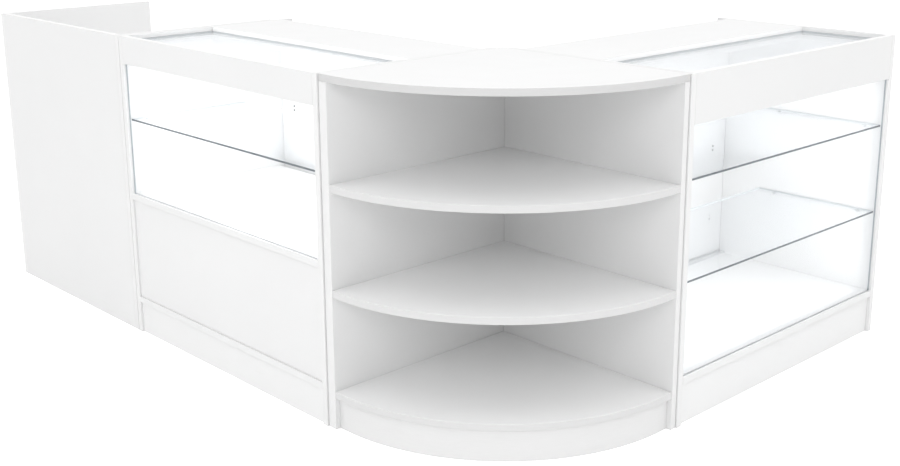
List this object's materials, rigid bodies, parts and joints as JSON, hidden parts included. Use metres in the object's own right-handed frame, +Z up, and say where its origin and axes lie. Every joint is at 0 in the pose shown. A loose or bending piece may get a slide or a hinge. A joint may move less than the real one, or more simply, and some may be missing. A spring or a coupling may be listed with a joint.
{
  "type": "checkout counter",
  "caption": "L-shaped white shop counter with glass display units, a quadrant corner shelf unit and a till unit with a drawer and recessed worktop.",
  "frame": {"origin": "on the floor under the corner unit's inner corner, at the middle of the board thickness where its two side panels meet", "axes": "+Z up; the till and half-glass units run along -X with their public face towards -Y; the full-glass unit runs along +Y with its public face towards +X; staff stand on the -X, +Y side"},
  "size_m": [2.336, 1.597, 0.9],
  "materials": {
    "white_board": "satin white melamine-faced chipboard with matching edge banding",
    "clear_glass": "clear toughened glass with polished edges",
    "track_aluminium": "natural anodised extrusion",
    "lock_chrome": "polished nickel-chrome plating",
    "drawer_steel": "zinc-plated and brushed steel",
    "grommet_plastic": "light grey moulded plastic"
  },
  "bodies": {
    "counter": {"till_end_panel_left": "white_board", "till_end_panel_right": "white_board", "till_front_panel": "white_board", "till_worktop": "white_board", "till_cable_grommet": "grommet_plastic", "till_shelf": "white_board", "till_bottom_board": "white_board", "till_rear_plinth": "white_board", "till_runner_cabinet_left": "drawer_steel", "till_runner_cabinet_right": "drawer_steel", "half_end_panel_left": "white_board", "half_end_panel_right": "white_board", "half_fascia": "white_board", "half_glass_frame": "white_board", "half_front_glass": "clear_glass", "half_top_glass": "clear_glass", "half_rear_top_board": "white_board", "half_bottom_board": "white_board", "half_plinth": "white_board", "half_bottom_track": "track_aluminium", "half_top_track": "track_aluminium", "half_glass_shelf": "clear_glass", "half_deck": "white_board", "half_lower_front_panel": "white_board", "corner_side_panel_left": "white_board", "corner_side_panel_right": "white_board", "corner_top": "white_board", "corner_upper_shelf": "white_board", "corner_lower_shelf": "white_board", "corner_bottom_shelf": "white_board", "corner_plinth": "white_board", "full_end_panel_left": "white_board", "full_end_panel_right": "white_board", "full_fascia": "white_board", "full_glass_frame": "white_board", "full_front_glass": "clear_glass", "full_top_glass": "clear_glass", "full_rear_top_board": "white_board", "full_bottom_board": "white_board", "full_plinth": "white_board", "full_bottom_track": "track_aluminium", "full_top_track": "track_aluminium", "full_glass_shelf_lower": "clear_glass", "full_glass_shelf_upper": "clear_glass"},
    "till_drawer": {"till_drawer_front": "white_board", "till_drawer_box": "white_board", "till_drawer_bottom": "white_board", "till_drawer_handle": "drawer_steel", "till_runner_drawer_left": "drawer_steel", "till_runner_drawer_right": "drawer_steel"},
    "till_runner_middle": {"till_runner_middle_left": "drawer_steel", "till_runner_middle_right": "drawer_steel"},
    "till_drawer_lock": {"till_drawer_lock": "lock_chrome"},
    "half_door_outer": {"half_door_outer": "white_board"},
    "half_door_inner": {"half_door_inner": "white_board"},
    "half_door_lock": {"half_door_lock": "lock_chrome"},
    "full_door_outer": {"full_door_outer": "white_board"},
    "full_door_inner": {"full_door_inner": "white_board"},
    "full_door_lock": {"full_door_lock": "lock_chrome"}
  },
  "joints": [
    {"name": "till_drawer_slide", "type": "slide", "parent": "counter", "child": "till_drawer", "axis": [0, 1, 0], "range_m": [0, 0.35]},
    {"name": "till_runner_middle_slide", "type": "slide", "parent": "counter", "child": "till_runner_middle", "axis": [0, 1, 0], "range_m": [0, 0.175]},
    {"name": "till_drawer_lock_turn", "type": "hinge", "parent": "till_drawer", "child": "till_drawer_lock", "pos_m": [-1.336, -0.073, 0.672], "axis": [0, 1, 0], "range_deg": [0, 90]},
    {"name": "half_door_outer_slide", "type": "slide", "parent": "counter", "child": "half_door_outer", "axis": [1, 0, 0], "range_m": [0, 0.434]},
    {"name": "half_door_inner_slide", "type": "slide", "parent": "counter", "child": "half_door_inner", "axis": [-1, 0, 0], "range_m": [0, 0.434]},
    {"name": "half_door_lock_push", "type": "slide", "parent": "half_door_outer", "child": "half_door_lock", "axis": [0, -1, 0], "range_m": [0, 0.01]},
    {"name": "full_door_outer_slide", "type": "slide", "parent": "counter", "child": "full_door_outer", "axis": [0, -1, 0], "range_m": [0, 0.455]},
    {"name": "full_door_inner_slide", "type": "slide", "parent": "counter", "child": "full_door_inner", "axis": [0, 1, 0], "range_m": [0, 0.455]},
    {"name": "full_door_lock_push", "type": "slide", "parent": "full_door_outer", "child": "full_door_lock", "axis": [1, 0, 0], "range_m": [0, 0.01]}
  ],
  "couplings": [
    {"joint": "till_runner_middle_slide", "follows": "till_drawer_slide", "ratio": 0.5}
  ]
}
